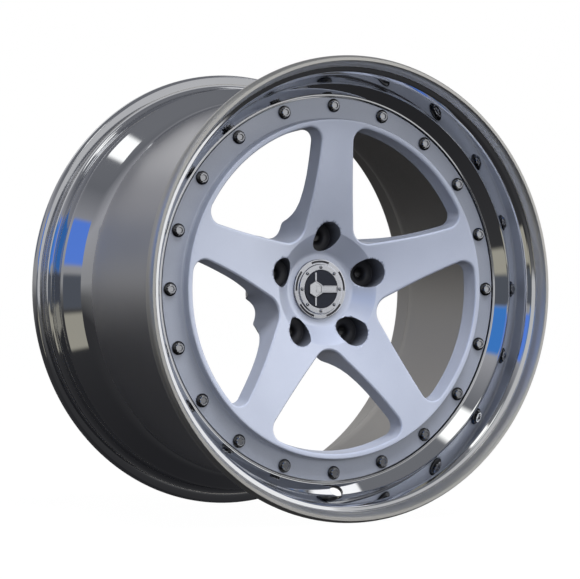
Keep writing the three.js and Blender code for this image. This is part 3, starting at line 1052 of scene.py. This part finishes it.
# %% Sealant bead
sealant, shader = new_finish("sealant", Roughness=0.6)
join(
    sealant,
    tint(sealant, noise(sealant, 60), (0.015, 0.015, 0.017), (0.035, 0.035, 0.038)),
    shader.inputs["Base Color"],
)
bump(sealant, shader, noise(sealant, 180), 0.2 * MM)
seal_corners = [
    (well - 2.4, barrel_front),
    (well + 1.9, barrel_front, 0.3),
    (well + 1.2, barrel_front - 3.4, 0.8),
    (well + 0.4, barrel_front - 4.5),
    (well + 0.4, barrel_front - 3),
]
bm = bmesh.new()
turn(bm, seal_corners, turn_steps)
for v in bm.verts:
    angle = math.atan2(v.co.z, v.co.x)
    if math.hypot(v.co.x, v.co.z) > (well + 0.8) * MM:
        v.co.y -= 0.12 * MM * math.sin(17 * angle) * math.sin(5 * angle + 1)
finish("sealant_bead", bm, [sealant], "wheel", ["seal_ring"])

# %% [markdown]
# The cap is a plastic plug that springs into the bore, a stepped metal ring, a disc of
# carbon fibre held by eight small screws, and a plain silver badge. The weave is a twill:
# each tow passes over two others and under two, and every row starts one tow further on.
# A few sums on the coordinates draw it at its real size, with no picture of a weave.

# %% Finishes of the cap
cap_silver = aluminium("cap_silver", (0.80, 0.82, 0.88), (0.88, 0.90, 0.96), 0.16, 0.26, 0.5, 0.002)
badge_silver = aluminium("badge_silver", (0.86, 0.88, 0.93), (0.93, 0.95, 1.0), 0.12, 0.2, 0.5, 0.002)
screw_steel = aluminium("screw_steel", (0.80, 0.81, 0.84), (0.90, 0.91, 0.94), 0.1, 0.2, 0.2, 0.002)
spring_wire = aluminium("spring_wire", (0.28, 0.28, 0.29), (0.36, 0.36, 0.37), 0.28, 0.4, 0.3, 0.003)
# Near-black colour for the cap's side faces, slots, badge edges and screw sockets: painted shade.
cap_shade_dark, shader = new_finish("cap_shade_dark", Roughness=0.55, Metallic=0.6)
join(
    cap_shade_dark,
    tint(cap_shade_dark, noise(cap_shade_dark, 300), (0.06, 0.06, 0.066), (0.11, 0.11, 0.118)),
    shader.inputs["Base Color"],
)
cap_plastic, shader = new_finish("cap_plastic", Roughness=0.5)
join(
    cap_plastic,
    tint(cap_plastic, noise(cap_plastic, 120), (0.022, 0.022, 0.024), (0.034, 0.034, 0.036)),
    shader.inputs["Base Color"],
)
bump(cap_plastic, shader, noise(cap_plastic, 2200), 0.02 * MM)


# %% The carbon weave
def twill(name, tow):
    material, shader = new_finish(name, Coat_Weight=0.1, Coat_Roughness=0.08)
    shader.inputs["Specular IOR Level"].default_value = 0.1
    parts = add_node(material, "ShaderNodeSeparateXYZ", {0: place_on(material)})
    across = math_node(material, "DIVIDE", parts.outputs["X"], tow * MM)
    along = math_node(material, "DIVIDE", parts.outputs["Z"], tow * MM)
    column = math_node(material, "FLOOR", across)
    row = math_node(material, "FLOOR", along)
    order = math_node(material, "FLOORED_MODULO", math_node(material, "ADD", column, row), 4)
    over = math_node(material, "LESS_THAN", order, 1.5)
    round_x = math_node(material, "PINGPONG", across, 0.5)
    round_z = math_node(material, "PINGPONG", along, 0.5)
    crown = add_node(material, "ShaderNodeMix", {0: over, 2: round_x, 3: round_z}).outputs[0]
    # The twill layout is the cloth's own pattern, but the lighter colour of the over tows and of each
    # tow's crown is painted sheen.
    shade = math_node(material, "MULTIPLY_ADD", over, 0.35, 0.5)
    lit = math_node(material, "ADD", shade, crown)
    join(
        material,
        tint(material, lit, (0.001, 0.001, 0.0015), (0.024, 0.026, 0.033)),
        shader.inputs["Base Color"],
    )
    join(material, spread(material, lit, 0.5, 0.22, 0, 1), shader.inputs["Roughness"])
    bump(material, shader, crown, 0.12 * MM, 0.6)
    return material


carbon_twill = twill("carbon_twill", 1.3)

# %% [markdown]
# The ring is turned with a step, and five arc slots are milled into its lower step. Only the faces
# that look forwards keep the silver; the other faces and the slots are painted near black, which is
# painted shade. The slots are cut with a Boolean, because an inset on a curved strip of narrow faces
# would leave uneven ends.

# %% Cap ring, with its five arc slots
cap_radius = radius_of("cap_ring")
ring_top = front_of("cap_ring")
step_top = ring_top - 1.8
ring_corners = [
    (29.9, cap_seat + 0.3),
    (cap_radius, cap_seat + 0.3, 0.2),
    (cap_radius, step_top, 0.9),
    (27.3, step_top, 0.4),
    (26.9, ring_top, 0.5),
    (20.9, ring_top, 0.5),
    (20.9, cap_seat + 0.9, 0.1),
    (29.9, cap_seat + 0.9, 0.1),
]
cap_steps = 128
bm = bmesh.new()
turn(bm, ring_corners, cap_steps)


def ring_shade_pick(f):
    return 1 if abs(f.normal.y) < 0.5 else 0


stepped_ring = finish(
    "cap_stepped_ring",
    bm,
    [cap_silver, cap_shade_dark],
    "centre_cap",
    ["cap_ring"],
    30,
    pick=ring_shade_pick,
)
slot_half = math.radians(21)
slot_inner, slot_outer, slot_floor = 28.9, 31.2, step_top - 1.1
cutter = bmesh.new()
for middle in spoke_angles:
    corners = [
        (slot_inner, slot_floor),
        (slot_outer, slot_floor),
        (slot_outer, ring_top + 2),
        (slot_inner, ring_top + 2),
    ]
    verts = [cutter.verts.new((r * MM, -s * MM, 0)) for r, s in corners]
    face_made = cutter.faces.new(verts)
    bmesh.ops.rotate(cutter, verts=verts, matrix=Matrix.Rotation(-(middle - slot_half), 3, "Y"))
    bmesh.ops.spin(cutter, geom=[face_made], axis=(0, 1, 0), angle=-2 * slot_half, steps=16)
bmesh.ops.remove_doubles(cutter, verts=cutter.verts, dist=1e-7)
bmesh.ops.recalc_face_normals(cutter, faces=cutter.faces)
# The slots' walls and floors take the near-black painted shade.
for f in cutter.faces:
    f.material_index = 1
cut_with(stepped_ring, cutter, "slot_cutter")

# %% [markdown]
# The carbon disc sits proud of the ring's bore with a small rounded edge. The badge on it is
# a hexagon with a raised rim, an upright bar and a cross band. The band carries no name.
# Each part of the badge is a flat plate: its outline is extruded, and insets make the
# sloped edge, the rim and the sunken field.

# %% Carbon disc
carbon_back = cap_seat + 0.9
carbon_front = front_of("cap_carbon_disc")
carbon_radius = radius_of("cap_carbon_disc")
bm = bmesh.new()
carbon_corners = [
    (0, carbon_back),
    (carbon_radius - 1, carbon_back, 0.2),
    (carbon_radius, carbon_back + 1, 0.2),
    (carbon_radius, carbon_front, 0.4),
    (0, carbon_front),
]
turn(bm, carbon_corners, cap_steps)
finish("cap_carbon_face", bm, [carbon_twill], "centre_cap", ["cap_carbon_disc"], 30)


# %% A plate of the badge
def plate(bm, outline, back, front, edge, rim=0.0, sink=0.0):
    verts = [bm.verts.new((x * MM, -back * MM, z * MM)) for x, z in outline]
    base = bm.faces.new(verts)
    top = push(bm, base, front - back)
    bmesh.ops.inset_region(bm, faces=[top], thickness=edge * MM)
    ring_verts = list(top.verts)
    outer = [v for v in bm.verts if abs(v.co.y + front * MM) < 1e-8 and v not in ring_verts]
    bmesh.ops.translate(bm, verts=outer, vec=(0, edge * MM, 0))
    if rim:
        bmesh.ops.inset_region(bm, faces=[top], thickness=rim * MM)
        bmesh.ops.inset_region(bm, faces=[top], thickness=0.25 * MM)
        bmesh.ops.translate(bm, verts=top.verts, vec=(0, sink * MM, 0))


def rectangle(left, bottom, right, top):
    return [(left, bottom), (right, bottom), (right, top), (left, top)]


# %% Badge
badge_back = carbon_front + 0.1
badge_front = front_of("cap_badge")
hex_shift = -7.3
hex_radius = 9.3
bar_half = 1.1
band_half = 4
band_end = math.sqrt((carbon_radius - 0.6) ** 2 - band_half**2)
bar_end = math.sqrt((carbon_radius - 0.6) ** 2 - (abs(hex_shift) + bar_half) ** 2)
hexagon = []
for i in range(6):
    a = math.pi / 2 + math.pi / 3 * i
    hexagon.append((hex_shift + hex_radius * math.cos(a), hex_radius * math.sin(a)))
bar = rectangle(hex_shift - bar_half, -bar_end, hex_shift + bar_half, bar_end)
band = rectangle(hex_shift, -band_half, band_end, band_half)
low_plate = badge_back + 0.75
bm = bmesh.new()
plate(bm, bar, badge_back, low_plate, edge=0.25)
plate(bm, band, badge_back, low_plate + 0.05, edge=0.4, rim=0.8, sink=0.3)
low_faces = len(bm.faces)
plate(bm, hexagon, badge_back, badge_front, edge=0.55, rim=1.1, sink=0.6)
bm.faces.ensure_lookup_table()


# The badge's sloped sides take the near-black painted shade.
def badge_tone_and_shade(f):
    if abs(f.normal.y) < 0.85:
        return 2
    return 0 if f.index < low_faces else 1


bm.faces.index_update()
finish(
    "cap_badge_plain",
    bm,
    [cap_silver, badge_silver, cap_shade_dark],
    "centre_cap",
    ["cap_badge"],
    sharp=20,
    pick=badge_tone_and_shade,
)

# %% [markdown]
# Eight button screws hold the carbon disc, each with a small round socket. Only their faces keep the
# steel colour: the sockets and the undercut rims are painted near black, a painted shade that draws
# the thin outline that small screws show.

# %% Cap screws
screw_top = front_of(screw_names[0])
screw_corners = [
    (0, screw_top - 5.6),
    (0.9, screw_top - 5.6, 0.1),
    (0.9, screw_top - 1.1, 0.1),
    (1.9, screw_top - 1.1, 0.1),
    (1.85, screw_top - 0.45, 0.35),
    (1.15, screw_top, 0.2),
    (0.85, screw_top, 0.1),
    (0.8, screw_top - 0.7, 0.05),
    (0, screw_top - 0.7),
]


socket_radius = 0.8
crown_radius = 1.6


def screw_shade_pick(f):
    return 0 if socket_radius <= distance_from(spot, f) <= crown_radius else 1


for name in screw_names:
    bm = bmesh.new()
    spot = spot_of(name)
    turn(bm, screw_corners, 24, spot)
    finishes = [screw_steel, cap_shade_dark]
    title = name + "_button"
    finish(title, bm, finishes, "centre_cap", [name], 30, pick=screw_shade_pick)

# %% [markdown]
# Behind the ring sits the plug, a moulded cup with a groove for a wire ring that grips the
# bore. Both are hidden until the cap is pulled. The wire is a circle spun round the axis.

# %% Plug and snap ring
plug_radius = radius_of("cap_body")
plug_back = back_of("cap_body")
plug_front = front_of("cap_body")
groove_front, groove_back, groove_floor = 57.3, 54.7, plug_radius - 2.3
plug_corners = [
    (0, plug_front),
    (plug_radius - 0.2, plug_front, 0.4),
    (plug_radius, groove_front, 0.2),
    (groove_floor, groove_front, 0.2),
    (groove_floor, groove_back, 0.2),
    (plug_radius, groove_back, 0.2),
    (plug_radius - 0.8, plug_back, 0.5),
    (plug_radius - 4, plug_back, 0.5),
    (plug_radius - 4, plug_front - 4.4, 1.2),
    (0, plug_front - 4.4),
]
bm = bmesh.new()
turn(bm, plug_corners, cap_steps)
finish("cap_plug", bm, [cap_plastic], "centre_cap", ["cap_body"], 30)

wire = 0.95
wire_middle = plug_radius - 1
wire_station = (groove_front + groove_back) / 2
bm = bmesh.new()
made = bmesh.ops.create_circle(bm, segments=12, radius=wire * MM)
bmesh.ops.translate(bm, verts=made["verts"], vec=(wire_middle * MM, -wire_station * MM, 0))
spin_about(bm, list(bm.edges), cap_steps)
finish("cap_snap_wire", bm, [spring_wire], "centre_cap", ["cap_snap_ring"], 60)

# %% [markdown]
# The camera sees a white studio. Polished metal shows whatever is round it, so rays that
# leave the metal see a quiet room instead: a dark floor, a pale horizon and a grey ceiling,
# with windows in its walls. A window is a patch given by its azimuth from straight ahead
# of the wheel, its elevation, its width and height, and its colour. Lit panels could do
# the same, but they would also light the paint and stand in the way of other views.

# %% A window in the room
world = bpy.data.worlds.new("studio")
bpy.context.scene.world = world
world.use_nodes = True
world.node_tree.nodes.clear()


window_blur = math.radians(2.5)


def inside(value, half):
    inputs = {"Value": math_node(world, "ABSOLUTE", value)}
    inputs.update({"From Min": half + window_blur, "From Max": half})
    eased = add_node(world, "ShaderNodeMapRange", inputs, interpolation_type="SMOOTHSTEP")
    return eased.outputs[0]


def window(color, azimuth, elevation, width, height, light):
    inputs = {"Vector": toward, "Angle": -math.radians(azimuth)}
    facing = add_node(world, "ShaderNodeVectorRotate", inputs, rotation_type="Z_AXIS")
    parts = add_node(world, "ShaderNodeSeparateXYZ", {0: facing.outputs[0]})
    ahead = math_node(world, "MULTIPLY", parts.outputs["Y"], -1.0)
    across = math_node(world, "ARCTAN2", parts.outputs["X"], ahead)
    rise = math_node(world, "ARCSINE", parts.outputs["Z"])
    above = math_node(world, "SUBTRACT", rise, math.radians(elevation))
    in_width = inside(across, math.radians(width / 2))
    in_height = inside(above, math.radians(height / 2))
    mask = math_node(world, "MULTIPLY", in_width, in_height)
    mix = add_node(world, "ShaderNodeMix", data_type="RGBA")
    world.node_tree.links.new(mask, mix.inputs[0])
    world.node_tree.links.new(color, mix.inputs[6])
    mix.inputs[7].default_value = (*light, 1)
    return mix.outputs[2]


# %% The room's tones from floor to ceiling
toward = add_node(world, "ShaderNodeTexCoord").outputs["Generated"]
upward = add_node(world, "ShaderNodeSeparateXYZ", {0: toward}).outputs["Z"]
level = add_node(world, "ShaderNodeMapRange", {"Value": upward, "From Min": -1.0})
ramp = add_node(world, "ShaderNodeValToRGB", {"Fac": level.outputs[0]})
stops = [
    (0.0, (0.022, 0.022, 0.024)),
    (0.40, (0.045, 0.045, 0.047)),
    (0.475, (0.15, 0.15, 0.15)),
    (0.52, (0.34, 0.34, 0.34)),
    (0.70, (0.42, 0.42, 0.44)),
    (0.85, (0.17, 0.175, 0.19)),
    (1.0, (0.20, 0.205, 0.22)),
]
for k, (at, tone) in enumerate(stops):
    element = ramp.color_ramp.elements[k] if k < 2 else ramp.color_ramp.elements.new(at)
    element.position = at
    element.color = (*tone, 1)

# %% The windows
windows = [
    (15, 14, 74, 30, (0.62, 0.62, 0.62)),
    (60, 10, 40, 50, (1.1, 1.1, 1.1)),
    (-62, -1, 60, 12, (0.10, 0.11, 0.13)),
    (-46, -10, 28, 7, (0.42, 0.40, 0.33)),
    (-80, -18, 28, 13, (0.42, 0.40, 0.33)),
    (-46, 15, 28, 15, (0.06, 0.24, 0.68)),
    (-80, 20, 28, 17, (0.12, 0.27, 0.85)),
    (-38, 51, 44, 9, (1.5, 1.5, 1.45)),
    (-88, 65, 34, 9, (1.5, 1.5, 1.45)),
    (68, 56, 22, 10, (1.3, 1.3, 1.3)),
    (108, 0, 50, 26, (0.36, 0.355, 0.34)),
    (176, 27, 20, 8, (1.0, 1.0, 1.0)),
    (-157, 13, 12, 9, (0.10, 0.13, 0.20)),
]
color = ramp.outputs["Color"]
for azimuth, elevation, width, height, light in windows:
    color = window(color, azimuth, elevation, width, height, light)
room = add_node(world, "ShaderNodeBackground", {"Color": color})
pale = add_node(world, "ShaderNodeBackground", {"Color": (1, 1, 1, 1)})
seen = add_node(world, "ShaderNodeLightPath").outputs["Is Camera Ray"]
swap = add_node(world, "ShaderNodeMixShader", {0: seen, 1: room.outputs[0], 2: pale.outputs[0]})
add_node(world, "ShaderNodeOutputWorld", {"Surface": swap.outputs[0]})
print("windows in the room:", len(windows))

# %% [markdown]
# Soft lamps light the paint from in front and above, so the lower spokes, which lean back,
# are brighter. Mirrors would show these lamps as hard squares, so glossy rays skip them.

# %% Lamps
lamp_distance = 3.2
cool = (0.86, 0.90, 1.0)


def lamp(name, direction, width, height, power):
    light = bpy.data.lights.new(name, "AREA")
    light.shape = "RECTANGLE"
    light.size, light.size_y = width, height
    light.energy = power
    light.color = cool
    item = bpy.data.objects.new(name, light)
    bpy.context.scene.collection.objects.link(item)
    item.location = Vector(direction).normalized() * lamp_distance
    item.rotation_euler = Vector(direction).to_track_quat("Z", "Y").to_euler()
    item.visible_camera = False
    item.visible_glossy = False


lamp("ceiling_front", (0.1, -0.5, 1.0), 2.6, 1.4, 150)
lamp("front_fill", (-0.35, -1.0, 0.1), 2.4, 1.6, 40)

# %% [markdown]
# The wheel stands on a pale sheet that glows almost white and takes a faint shadow. It
# would hide the lower half of the room from the polished metal, so only the camera sees it.

# %% Floor
pale_floor, shader = new_finish("pale_floor", Roughness=0.9)
shader.inputs["Base Color"].default_value = (0.8, 0.8, 0.8, 1)
glow = add_node(pale_floor, "ShaderNodeEmission", {"Strength": 1.02})
parts = {0: 0.03, 1: glow.outputs[0], 2: shader.outputs[0]}
sheet = add_node(pale_floor, "ShaderNodeMixShader", parts)
clear = add_node(pale_floor, "ShaderNodeBsdfTransparent")
seen = add_node(pale_floor, "ShaderNodeLightPath").outputs["Is Camera Ray"]
parts = {0: seen, 1: clear.outputs[0], 2: sheet.outputs[0]}
choose = add_node(pale_floor, "ShaderNodeMixShader", parts)
output = pale_floor.node_tree.nodes["Material Output"]
join(pale_floor, choose.outputs[0], output.inputs["Surface"])
bm = bmesh.new()
bmesh.ops.create_circle(bm, cap_ends=True, segments=96, radius=30)
bmesh.ops.translate(bm, verts=bm.verts, vec=(0, 0, cad_box[0][2] - 0.0002))
mesh = bpy.data.meshes.new("floor")
bm.to_mesh(mesh)
bm.free()
mesh.materials.append(pale_floor)
floor = bpy.data.objects.new("floor", mesh)
bpy.context.scene.collection.objects.link(floor)

# %% [markdown]
# The camera stands level with the wheel's axis, in front and to the left, with a long lens,
# which keeps the ellipses of the lip and the barrel nearly alike.

# %% Camera
view_turn = math.atan2(0.4991, 0.8665)
camera_data = bpy.data.cameras.new("camera")
camera_data.lens = 151.3
camera_data.sensor_width = 36
camera_data.clip_end = 200
camera = bpy.data.objects.new("camera", camera_data)
bpy.context.scene.collection.objects.link(camera)
camera.location = (-1.354, -2.351, -0.0004)
camera.rotation_euler = (math.pi / 2, 0, -view_turn)
bpy.context.scene.camera = camera
bpy.context.scene.view_settings.view_transform = "Standard"
